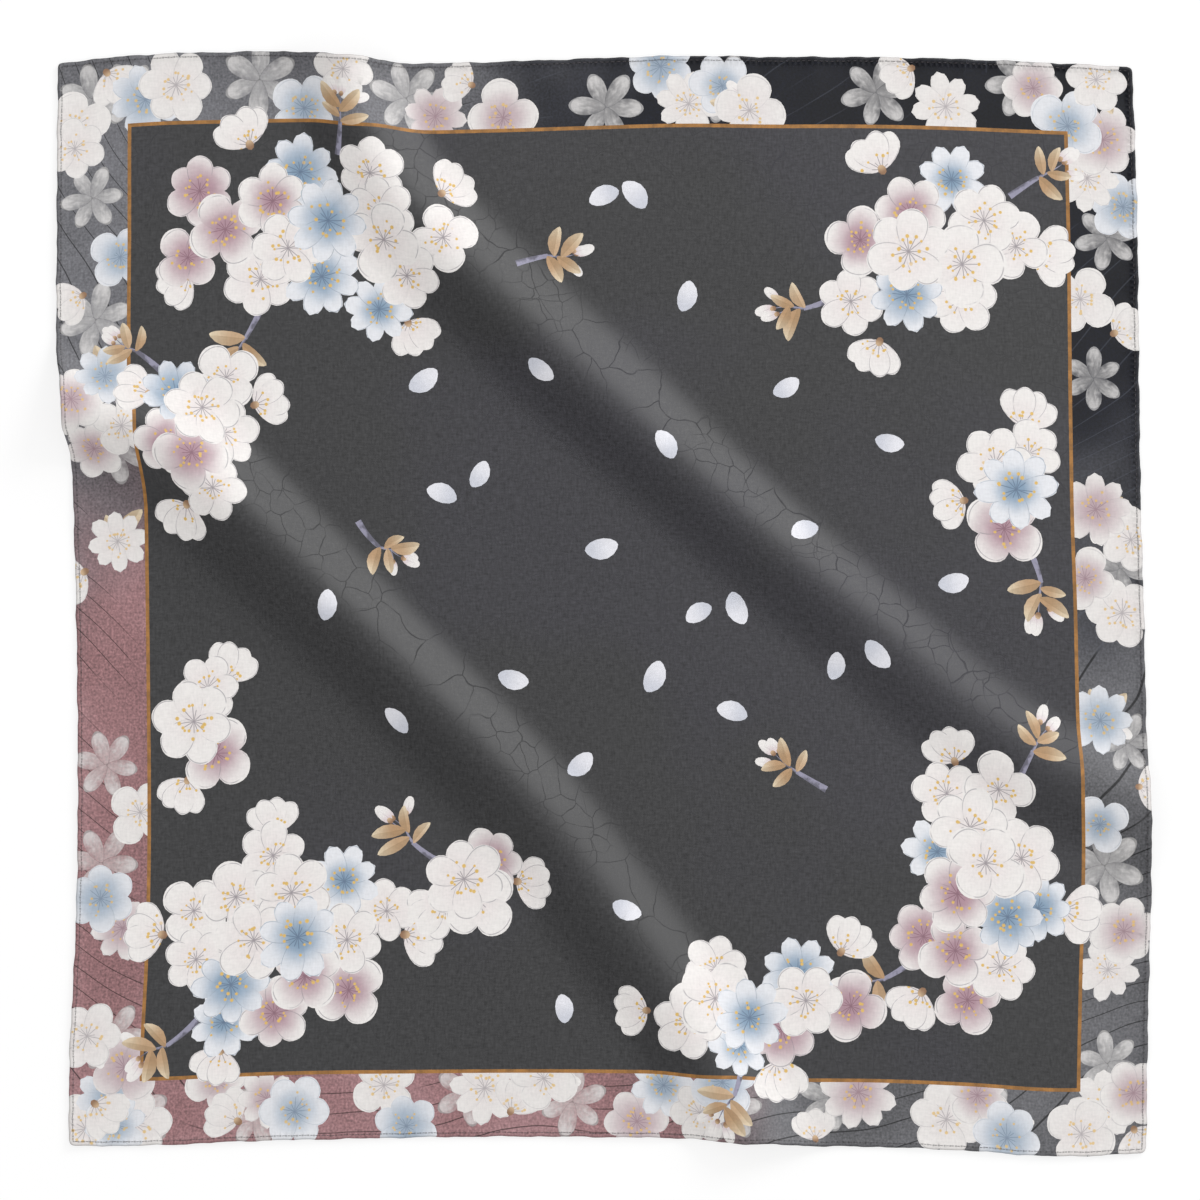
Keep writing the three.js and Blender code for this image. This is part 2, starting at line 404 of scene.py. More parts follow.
def edge_ripple(u, v, half):
    """Lift and outward shift that the sewing gives the cloth near its edges."""
    lift, shift_u, shift_v = np.zeros((3, len(u)))
    for side, (place, inset) in enumerate(
        ((v, half + u), (v, half - u), (u, half + v), (u, half - v))
    ):
        wave = np.zeros_like(u)
        for ripple in HEM_RIPPLES:
            wave += ripple.height * np.sin(
                TURN * place / ripple.length + ripple.phase + SIDE_PHASE * side
            )
        lift += (wave + sum(r.height for r in HEM_RIPPLES)) * np.exp(-inset / RIPPLE_REACH)
        shift = shift_u if side < 2 else shift_v
        shift += EDGE_WOBBLE * wave * np.exp(-inset / WOBBLE_REACH)
    return lift, shift_u, shift_v


def soft_lift(u, v):
    """Slow waves where the cloth lies flat. It touches the surface in their troughs."""
    lift = np.zeros_like(u)
    for wave in SOFT_WAVES:
        turn = math.radians(wave.turn)
        place = u * math.cos(turn) + v * math.sin(turn)
        lift += wave.height * (1 + np.sin(TURN * place / wave.length + wave.phase))
    return np.maximum(lift - SOFT_WAVES[0].height, 0)


def half_side(cloth):
    """Half the flat cloth's side in millimetres."""
    return cloth.side / MM / 2


def lay_cloth(u, v, cloth):
    """Underside of the laid cloth over points of the smoothed-flat square."""
    half = half_side(cloth)
    ripple, shift_u, shift_v = edge_ripple(u, v, half)
    waves = soft_lift(u, v)
    u, v = round_corners(u, v, half, cloth.corner_radius / MM)
    along = (u - v) / DIAGONAL
    sections = ridge_sections(along)
    step = (u + v) / DIAGONAL / LAYING_STEPS
    across = np.zeros_like(u)
    for _ in range(LAYING_STEPS):
        _, slope = ridge_height_and_slope(sections, across + step / 2)
        across += step / np.hypot(1, slope)
    right_share = u / (2 * half) + 0.5
    far_share = v / (2 * half) + 0.5
    drift_x = column(EDGE_DRIFT, "at", "left", v) * (1 - right_share)
    drift_x += column(EDGE_DRIFT, "at", "right", v) * right_share
    drift_y = column(EDGE_DRIFT, "at", "near", u) * (1 - far_share)
    drift_y += column(EDGE_DRIFT, "at", "far", u) * far_share
    height, _ = ridge_height_and_slope(sections, across)
    x = (across + along) / DIAGONAL + drift_x + shift_u
    y = (across - along) / DIAGONAL + drift_y + shift_v
    return np.stack((x, y, height + waves + ripple), axis=1)


def cloth_thickness(u, v, half):
    """Thickness of the cloth, with its turned hem."""
    inset = half - np.maximum(np.abs(u), np.abs(v))
    return np.interp(inset, *zip(*HEM_PROFILE))


def printed_face(u, v, cloth):
    """Upper side of the laid cloth."""
    under = lay_cloth(u, v, cloth)
    reach = SLOPE_REACH
    along_u = lay_cloth(u + reach, v, cloth) - lay_cloth(u - reach, v, cloth)
    along_v = lay_cloth(u, v + reach, cloth) - lay_cloth(u, v - reach, cloth)
    normal = np.cross(along_u, along_v)
    normal /= np.linalg.norm(normal, axis=1, keepdims=True)
    return under, under + normal * cloth_thickness(u, v, half_side(cloth))[:, None]


def frame_shift(cloth):
    """How far the laid cloth is moved to lie over the middle of the frame's own cloth."""
    half = half_side(cloth)
    outline = np.array(with_points_between(rectangle(-half, half, -half, half), EDGE_STEP))
    under = lay_cloth(outline[:, 0], outline[:, 1], cloth)
    frame_box = np.array(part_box(CLOTH_NODE)) / MM
    shift = frame_box.mean(axis=0) - (under.min(axis=0) + under.max(axis=0)) / 2
    shift[2] = 0
    return shift


# Drawing the print


class Mark:
    """One printed shape: its outline on the flat cloth, its kind and its own axes."""

    def __init__(self, outline, kind, tint=WHITE, tone=0.5, heart=None, petal=None):
        self.outline = outline
        self.kind = kind
        self.tint = tint
        self.tone = tone
        self.heart = heart or (0.0, 0.0, 1.0, 1.0, 0.0)
        self.petal = petal or (0.0, 0.0, 1.0, 1.0, 0.0)


def turned(u, v, turn, x, y):
    """A point x, y in axes at u, v that are turned by an angle."""
    c, s = math.cos(turn), math.sin(turn)
    return (u + x * c - y * s, v + x * s + y * c)


def tip_edge(phi, flower):
    """Share of a petal's outline kept at an angle, for toothed and pointed tips."""
    tip = max(0.0, math.cos(phi))
    teeth = flower.depth * tip * tip * (0.5 - 0.5 * math.cos(flower.teeth * phi))
    return 1 - teeth + flower.point * tip**10


def add_petal(marks, heart, turn, flower, tint, tone, kind=PETAL, points=20):
    """A petal that grows from a flower's heart."""
    u, v, radius, _, _ = heart
    long_half = (1 - flower.base) / 2 * radius
    wide_half = flower.half_width * radius
    cu, cv = turned(u, v, turn, flower.base * radius + long_half, 0)
    outline = []
    for i in range(points):
        phi = TURN * i / points
        phi -= TIP_CROWDING * math.sin(phi)
        keep = tip_edge(phi, flower)
        x = math.cos(phi) * long_half * keep
        y = math.sin(phi) * (1 + SWELL * math.cos(phi)) * wide_half * keep
        outline.append(turned(cu, cv, turn, x, y))
    petal = (cu, cv, long_half, wide_half, turn)
    marks.append(Mark(outline, kind, tint, tone, heart, petal))


def add_flower(marks, u, v, radius, flower, tint, turn, rng, kind=PETAL):
    """An open flower, its lower petals first and then those that lie over them."""
    heart = (u, v, radius, radius, turn)
    tone = rng.random()
    order = list(range(0, flower.petals, 2)) + list(range(1, flower.petals, 2))
    for i in order:
        angle = turn + TURN * i / flower.petals + rng.uniform(-0.06, 0.06)
        size = rng.uniform(0.93, 1.05)
        own = (u, v, radius * size, radius * size, turn)
        add_petal(marks, own, angle, flower, tint, tone, kind)
    for mark in marks[-flower.petals :]:
        mark.heart = heart


def add_oval(marks, u, v, turn, length, width, kind, tone=0.5, sharp=1.0, curl=0.0, points=14):
    """An oval from u, v along turn: a bud, a cup, a leaf or a loose petal."""
    cu, cv = turned(u, v, turn, length / 2, 0)
    outline = []
    for i in range(points):
        phi = TURN * i / points
        x = math.cos(phi)
        y = math.copysign(abs(math.sin(phi)) ** sharp, math.sin(phi)) * width / 2
        outline.append(turned(cu, cv, turn, x * length / 2, y + curl * length * (x * x - 0.5)))
    petal = (cu, cv, length / 2, width / 2, turn)
    marks.append(Mark(outline, kind, tone=tone, petal=petal))


def add_stem(marks, u, v, turn, length, bend, width, steps=5):
    """A thin bent strip from u, v, narrowing to its end. Returns the end and its angle."""
    left, right = [], []
    x, y, angle = u, v, turn
    for i in range(steps + 1):
        half = width / 2 * (1 - STEM_TAPER * i / steps)
        left.append(turned(x, y, angle, 0, half))
        right.append(turned(x, y, angle, 0, -half))
        if i < steps:
            x, y = turned(x, y, angle, length / steps, 0)
            angle += bend / steps
    petal = (u, v, length, width / 2, turn)
    marks.append(Mark(right + left[::-1], TWIG, petal=petal))
    return x, y, angle


def add_bud(marks, u, v, turn, size, rng):
    """A closed bud on a thin stalk, with a cup at its base."""
    x, y, angle = add_stem(marks, u, v, turn, size, rng.uniform(-0.5, 0.5), 0.55, 3)
    add_oval(marks, x, y, angle, size * 1.3, size * 0.72, BUD, rng.random(), 0.9)
    base = turned(x, y, angle, -size * 0.12, 0)
    add_oval(marks, *base, angle, size * 0.42, size * 0.36, CALYX, rng.random(), points=8)


def add_cup_flower(marks, u, v, turn, size, tint, rng, kind=PETAL):
    """A half-open flower seen from the side, with a cup at its base."""
    heart = (u, v, size, size, turn)
    tone = rng.random()
    for spread in (-0.72, 0.74, -0.26, 0.3):
        petal_turn = turn + spread + rng.uniform(-0.08, 0.08)
        add_petal(marks, heart, petal_turn, HALF_OPEN, tint, tone, kind)
    base = turned(u, v, turn, -size * 0.14, 0)
    add_oval(marks, *base, turn, size * 0.27, size * 0.22, CALYX, tone, points=8)


def add_leaf(marks, u, v, turn, length, rng):
    """A curved leaf with pointed ends."""
    width = length * rng.uniform(0.36, 0.44)
    add_oval(marks, u, v, turn, length, width, LEAF, rng.random(), 1.4, rng.uniform(-0.12, 0.12))


def add_sprig(marks, u, v, turn, length, rng):
    """A stub of twig that ends in a spray of leaves and buds."""
    bend = rng.uniform(-0.4, 0.4)
    x, y, angle = add_stem(marks, u, v, turn, length * 0.42, bend, 3.0)
    fork_x, fork_y, _ = add_stem(marks, x, y, angle + bend, length * 0.16, bend, 1.3, 2)
    for spread in (-0.62, -0.12, 0.45):
        size = length * rng.uniform(0.15, 0.19)
        add_bud(marks, fork_x, fork_y, angle + spread + rng.uniform(-0.1, 0.1), size, rng)
    for place, spread in ((0.0, -1.35), (0.4, 1.2), (0.7, -0.8), (1.0, 0.85)):
        leaf_x, leaf_y = x + (fork_x - x) * place, y + (fork_y - y) * place
        leaf_turn = angle + spread + rng.uniform(-0.2, 0.2)
        add_leaf(marks, leaf_x, leaf_y, leaf_turn, length * rng.uniform(0.28, 0.40), rng)


def add_cluster(marks, cluster):
    """Flowers packed in an oval, with sprigs and half-open flowers round it."""
    rng = random.Random(cluster.seed)
    turn = math.radians(cluster.turn)
    kinds = (ANEMONE, DOGWOOD, ANEMONE, COSMOS)
    tints = (WHITE, PINK, WHITE, BLUE, WHITE, WHITE, PINK, BLUE)
    start = rng.uniform(0, TURN)

    def at(angle, length, width, stray_x=0.0, stray_y=0.0):
        """A point on an oval round the cluster's middle, or a little astray of it."""
        x = math.cos(angle) * length + stray_x
        y = math.sin(angle) * width + stray_y
        return turned(cluster.u, cluster.v, turn, x, y)

    for i in range(cluster.sprigs):
        angle = start + TURN * (i + rng.uniform(-0.15, 0.15)) / cluster.sprigs
        u, v = at(angle, cluster.length * 0.85, cluster.width * 0.85)
        add_sprig(marks, u, v, turn + angle, rng.uniform(34, 42), rng)
    for i in range(cluster.cups):
        angle = start + 0.9 + TURN * (i + rng.uniform(-0.2, 0.2)) / cluster.cups
        u, v = at(angle, cluster.length - 2, cluster.width - 2)
        add_cup_flower(marks, u, v, turn + angle, rng.uniform(15, 18), WHITE, rng)
    places = []
    length, width = cluster.length - 8, cluster.width - 8
    for i in range(cluster.flowers):
        share = math.sqrt((i + 0.5) / cluster.flowers)
        stray = rng.uniform(-2, 2), rng.uniform(-2, 2)
        spot = at(start + i * GOLDEN_TURN, share * length, share * width, *stray)
        places.append((share, i, *spot))
    for share, i, u, v in sorted(places, reverse=True):
        radius = 19.5 - 4.5 * share + rng.uniform(-1.2, 1.2)
        flower = kinds[(i + cluster.seed) % len(kinds)]
        tint = tints[(i + cluster.seed) % len(tints)]
        add_flower(marks, u, v, radius, flower, tint, rng.uniform(0, TURN), rng)


def side_point(side, place, inset, half):
    """A point of the flat cloth at a place along one side and a distance in from it."""
    return {
        "near": (place, inset - half),
        "far": (place, half - inset),
        "left": (inset - half, place),
        "right": (half - inset, place),
    }[side]


def add_border(marks, half):
    """Flowers, paler flowers behind, leaves and buds, cut by the edge and frame line."""
    rng = random.Random(77)
    kinds = (ANEMONE, COSMOS, ANEMONE, DOGWOOD)
    insets = (6, 21, 12, 26)
    tints = (WHITE, BLUE, WHITE, PINK, WHITE, PINK, BLUE)
    for side, places in GHOST_PLACES.items():
        for place in places:
            u, v = side_point(side, place + rng.uniform(-4, 4), rng.uniform(8, 22), half)
            turn = rng.uniform(0, TURN)
            add_flower(marks, u, v, rng.uniform(13, 17), STAR, WHITE, turn, rng, GHOST)
    number = 0
    for side, stretches in BORDER_SIDES.items():
        for start, end, spacing in stretches:
            place = start + rng.uniform(0, 6)
            while place < end:
                inset = insets[number % len(insets)] + rng.uniform(-3, 3)
                u, v = side_point(side, place, inset, half)
                turn = rng.uniform(0, TURN)
                gap = BORDER_GAPS[number % len(BORDER_GAPS)]
                if gap > LEAFY_GAP:
                    add_leaf(marks, u, v, turn, rng.uniform(14, 18), rng)
                    add_leaf(marks, u, v, turn + 1.1, rng.uniform(12, 16), rng)
                    add_bud(marks, u, v, turn - 1.0, rng.uniform(6, 7.5), rng)
                if number % 6 == 4:
                    add_cup_flower(marks, u, v, turn, rng.uniform(13, 16), WHITE, rng, PALE)
                else:
                    radius = rng.uniform(13.5, 17)
                    flower, tint = kinds[number % len(kinds)], tints[number % len(tints)]
                    add_flower(marks, u, v, radius, flower, tint, turn, rng, PALE)
                place += spacing * gap + rng.uniform(-2.5, 2.5)
                number += 1


def rectangle(left, right, near, far):
    return [(left, near), (right, near), (right, far), (left, far)]


def draw_print(cloth):
    """Every printed mark, from the lowest to the topmost."""
    half = half_side(cloth)
    marks = [Mark(rectangle(-half, half, -half, half), BORDER)]
    add_border(marks, half)
    left, right = cloth.line_left / MM - half, half - cloth.line_right / MM
    near, far = cloth.line_near / MM - half, half - cloth.line_far / MM
    width = cloth.line_width / MM
    marks.append(Mark(rectangle(left, right, near, far), LINE))
    marks.append(Mark(rectangle(left + width, right - width, near + width, far - width), FIELD))
    for petal in LOOSE_PETALS:
        turn = math.radians(petal.turn)
        width = petal.length * LOOSE_WIDTH
        add_oval(marks, petal.u, petal.v, turn, petal.length, width, LOOSE, 0.5, 1.25, 0.05)
    for sprig in LONE_SPRIGS:
        rng = random.Random(sprig.seed)
        add_sprig(marks, sprig.u, sprig.v, math.radians(sprig.turn), sprig.length, rng)
    for cluster in CLUSTERS:
        add_cluster(marks, cluster)
    return marks


# Cutting the flat cloth along the print


def with_points_between(outline, step):
    """An outline with points added so that none of its sides is longer than step."""
    points = []
    for a, b in zip(outline, outline[1:] + outline[:1]):
        pieces = max(1, math.ceil(math.dist(a, b) / step - 1e-6))
        for i in range(pieces):
            t = i / pieces
            points.append((a[0] + (b[0] - a[0]) * t, a[1] + (b[1] - a[1]) * t))
    return points


def fill_points(half, step):
    """Points inside the cloth: a loose lattice, and close rows along the hem."""
    rows = [(inset, EDGE_STEP * (1 if inset < FINE_INSET else 2)) for inset, _ in HEM_PROFILE[1:]]
    points = []
    for inset, spacing in (*rows, *ROWS_PAST_HEM):
        reach = half - inset
        points += with_points_between(rectangle(-reach, reach, -reach, reach), spacing)
    inner = half - LATTICE_INSET
    count = round(2 * inner / step)
    for j in range(count + 1):
        for i in range(count + 1):
            shift = 0.25 * step if j % 2 else -0.25 * step
            u = -inner + 2 * inner * i / count + (shift if 0 < i < count else 0)
            points.append((u, -inner + 2 * inner * j / count))
    return points


def cut_flat_cloth(marks, cloth):
    """Triangles of the flat cloth, and the topmost mark that each one belongs to."""
    half = half_side(cloth)
    step = cloth.mesh_step / MM
    points, faces = [], []
    for number, mark in enumerate(marks):
        outline = with_points_between(mark.outline, EDGE_STEP if number == 0 else step)
        faces.append(list(range(len(points), len(points) + len(outline))))
        points += outline
    flat, triangles, owners = triangulate(points, [], faces)
    inside = [i for i, marks_there in enumerate(owners) if 0 in marks_there]
    triangles = triangles[inside]
    owner = np.array([max(owners[i]) for i in inside])
    # Cut it again along the outlines that still show, now with the fill points.
    drawn = BVHTree.FromPolygons([(*p, 0) for p in flat], triangles.tolist())
    edges = shown_outlines(triangles, owner)
    kept, ends = np.unique(edges, return_inverse=True)
    points = flat[kept].tolist() + fill_points(half, step)
    flat, triangles, _ = triangulate(points, ends.reshape(edges.shape).tolist(), [])
    middles = flat[triangles].mean(axis=1)
    down = Vector((0, 0, -1))
    hits = [drawn.ray_cast(Vector((*middle, 1)), down)[2] for middle in middles]
    inside = np.array([hit is not None for hit in hits])
    return flat, triangles[inside], owner[[hit for hit in hits if hit is not None]]


def triangulate(points, edges, faces):
    """Joins points into triangles that keep to the edges and faces."""
    result = delaunay_2d_cdt([Vector(p) for p in points], edges, faces, 0, 1e-4, True)
    flat = np.array([tuple(p) for p in result[0]])
    triangles = np.array(result[2], int)
    corners = flat[triangles]
    sides = corners[:, 1:] - corners[:, :1]
    area = sides[:, 0, 0] * sides[:, 1, 1] - sides[:, 0, 1] * sides[:, 1, 0]
    triangles[area < 0] = triangles[area < 0][:, ::-1]
    return flat, triangles, result[5]


def sides_of(triangles):
    """Every triangle's first sides, then their second and their third ones."""
    return np.concatenate((triangles[:, (0, 1)], triangles[:, (1, 2)], triangles[:, (2, 0)]))


def shown_outlines(triangles, owner):
    """The edges between triangles of different marks, and those round the outside."""
    edges = np.sort(sides_of(triangles), axis=1)
    keys, first = np.unique(edges, axis=0, return_inverse=True)
    first = first.ravel()
    highest = np.full(len(keys), -1)
    lowest = np.full(len(keys), owner.max() + 1)
    count = np.bincount(first, minlength=len(keys))
    np.maximum.at(highest, first, np.tile(owner, 3))
    np.minimum.at(lowest, first, np.tile(owner, 3))
    return keys[(highest != lowest) | (count == 1)]


def outer_edges(triangles):
    """The edges that only one triangle has, as pairs in that triangle's order."""
    edges = sides_of(triangles)
    keys = np.sort(edges, axis=1)
    _, first, counts = np.unique(keys, axis=0, return_index=True, return_counts=True)
    return edges[first[counts == 1]]


def own_axes(points, frames):
    """Points of the flat cloth in each one's own shifted, turned and scaled axes."""
    du, dv = points[:, 0] - frames[:, 0], points[:, 1] - frames[:, 1]
    c, s = np.cos(frames[:, 4]), np.sin(frames[:, 4])
    return np.stack(((du * c + dv * s) / frames[:, 2], (dv * c - du * s) / frames[:, 3]), axis=1)


def cloth_mesh(cloth):
    """The printed cloth as one closed thin sheet, with what its material reads."""
    marks = draw_print(cloth)
    flat, triangles, owner = cut_flat_cloth(marks, cloth)
    half = half_side(cloth)
    under, upper = printed_face(flat[:, 0], flat[:, 1], cloth)
    shift = frame_shift(cloth)
    count = len(flat)
    rim = outer_edges(triangles)
    rim_a = np.stack((rim[:, 0], rim[:, 0] + count, rim[:, 1]), axis=1)
    rim_b = np.stack((rim[:, 1], rim[:, 0] + count, rim[:, 1] + count), axis=1)
    faces = np.concatenate((triangles, triangles[:, ::-1] + count, rim_a, rim_b))
    owners = np.concatenate((owner, owner, np.zeros(2 * len(rim), int)))
    layer = np.repeat((0, 1, 2), (len(triangles), len(triangles), 2 * len(rim)))

    mesh = bpy.data.meshes.new("handkerchief_print")
    positions = (np.concatenate((upper, under)) + shift) * MM
    mesh.from_pydata(positions.tolist(), [], faces.tolist())

    def of_marks(name, numbers):
        """One value of each of the numbered marks."""
        return np.array([getattr(mark, name) for mark in marks])[numbers]

    corner_flat = np.concatenate((flat, flat))[faces.ravel()]
    add_map(mesh, "OFBake", bake_places(corner_flat, np.repeat(layer, 3), half))
    add_map(mesh, "cloth", corner_flat / (2 * half) + 0.5)
    for name in ("heart", "petal"):
        add_map(mesh, name, own_axes(corner_flat, of_marks(name, np.repeat(owners, 3))))
    for name in ("tint", "tone"):
        add_face_values(mesh, name, of_marks(name, owners))
    add_face_values(mesh, "back", layer == 1)
    mesh.polygons.foreach_set("material_index", of_marks("kind", owners))
    mesh.polygons.foreach_set("use_smooth", layer < 2)
    mesh.validate()
    return mesh


def add_map(mesh, name, places):
    """A UV map that holds a pair of numbers for each face corner."""
    layer = mesh.uv_layers.new(name=name)
    layer.data.foreach_set("uv", places.astype(np.float32).ravel())


def add_face_values(mesh, name, values):
    """A number for each face, which the print's material reads."""
    layer = mesh.attributes.new(name, "FLOAT", "FACE")
    layer.data.foreach_set("value", values.astype(np.float32))


def bake_places(flat, layer, half):
    """Places on the bake's square: the printed side large, the back small at its lower
    right, and the rim's four sides as lines above the back."""
    share = flat / (2 * half) + 0.5
    margin, face_side, back_side, back_left = 0.008, 0.775, 0.195, 0.795
    face = margin + face_side * share
    back = np.stack((back_left + back_side * share[:, 0], margin + back_side * share[:, 1]), axis=1)
    inset = half - np.abs(flat)
    across = inset[:, 0] < inset[:, 1]
    far = np.where(across, flat[:, 0] > 0, flat[:, 1] > 0)
    line = 0.80 + 0.04 * (2 * across + far)
    run = np.where(across, share[:, 1], share[:, 0])
    rim = np.stack((line, 0.24 + 0.74 * run), axis=1)
    return np.where((layer == 0)[:, None], face, np.where((layer == 1)[:, None], back, rim))


# Materials


def linear(colour):
    """A display colour as the light values that shaders use. A socket stays as it is."""
    if isinstance(colour, Socket):
        return colour
    channels = [c / 12.92 if c <= 0.04045 else ((c + 0.055) / 1.055) ** 2.4 for c in colour]
    return (*channels, 1.0)


def darker(colour, share):
    """A display colour with its channels cut to a share."""
    return tuple(share * channel for channel in colour)


def adds_node(operation, swapped=False):
    """A Socket's method that adds a Math node on itself and what it is given."""

    def method(self, *others):
        return self.maths(operation, *((*others, self) if swapped else (self, *others)))

    return method


class Socket:
    """An output of a shader node, with arithmetic that adds Math nodes."""

    def __init__(self, shader, output):
        self.shader = shader
        self.output = output

    def maths(self, operation, *values):
        return self.shader.node("ShaderNodeMath", dict(enumerate(values)), operation=operation)

    __add__ = __radd__ = adds_node("ADD")
    __sub__, __rsub__ = adds_node("SUBTRACT"), adds_node("SUBTRACT", swapped=True)
    __mul__ = __rmul__ = adds_node("MULTIPLY")
    __truediv__, __rtruediv__ = adds_node("DIVIDE"), adds_node("DIVIDE", swapped=True)
    __abs__ = adds_node("ABSOLUTE")
    larger = adds_node("MAXIMUM")
    root = adds_node("SQRT")
    fraction = adds_node("FRACT")
    whole = adds_node("FLOOR")

    def is_near(self, value):
        """1 where this is within half of a whole number, 0 elsewhere."""
        return self.maths("COMPARE", self, value, 0.5)

    def rise(self, start, end):
        """0 below start, 1 past end and a smooth step between. It falls if end is lower."""
        low, high, to_low, to_high = (start, end, 0, 1) if start < end else (end, start, 1, 0)
        return self.shader.node(
            "ShaderNodeMapRange",
            {"Value": self, "From Min": low, "From Max": high, "To Min": to_low, "To Max": to_high},
            interpolation_type="SMOOTHSTEP",
        )

    def parts(self):
        """The X and Y of a vector."""
        x = self.shader.node("ShaderNodeSeparateXYZ", {0: self})
        return x, Socket(self.shader, x.output.node.outputs[1])


class Shader:
    """The nodes of a new material, which all come from node()."""

    def __init__(self, name):
        self.material = bpy.data.materials.new(name)
        self.material.use_nodes = True
        self.tree = self.material.node_tree
        self.tree.nodes.clear()

    def node(self, kind, inputs, out=0, **settings):
        """One output of a new node with its settings and its inputs' values or links."""
        node = self.tree.nodes.new(kind)
        for name, value in settings.items():
            setattr(node, name, value)
        for name, value in inputs.items():
            if isinstance(value, Socket):
                self.tree.links.new(value.output, node.inputs[name])
            else:
                node.inputs[name].default_value = value
        return Socket(self, node.outputs[out])

    def finish(self, inputs):
        """The material, once its surface shader has these inputs."""
        surface = self.node("ShaderNodeBsdfPrincipled", inputs)
        output = self.tree.nodes.new("ShaderNodeOutputMaterial")
        self.tree.links.new(surface.output, output.inputs["Surface"])
        return self.material

    def mix(self, first, second, factor, **settings):
        """One colour turning into another by a factor."""
        inputs = {0: factor, 6: linear(first), 7: linear(second)}
        return self.node("ShaderNodeMix", inputs, 2, data_type="RGBA", **settings)

    def scaled(self, colour, factor):
        """A colour made darker or lighter by a factor."""
        grey = self.node("ShaderNodeCombineXYZ", {0: factor, 1: factor, 2: factor})
        return self.mix(colour, grey, 1.0, blend_type="MULTIPLY")

    def noise(self, vector, scale, detail=1.0, out=0):
        inputs = {"Vector": vector, "Scale": scale, "Detail": detail}
        return self.node("ShaderNodeTexNoise", inputs, out, noise_dimensions="2D")

    def stretched(self, vector, x, y):
        """A vector scaled along X and Y, to draw a pattern out one way."""
        return self.node("ShaderNodeVectorMath", {0: vector, 1: (x, y, 1.0)}, operation="MULTIPLY")

    def bump(self, height, strength, distance):
        inputs = {"Strength": strength, "Distance": distance, "Height": height}
        return self.node("ShaderNodeBump", inputs)


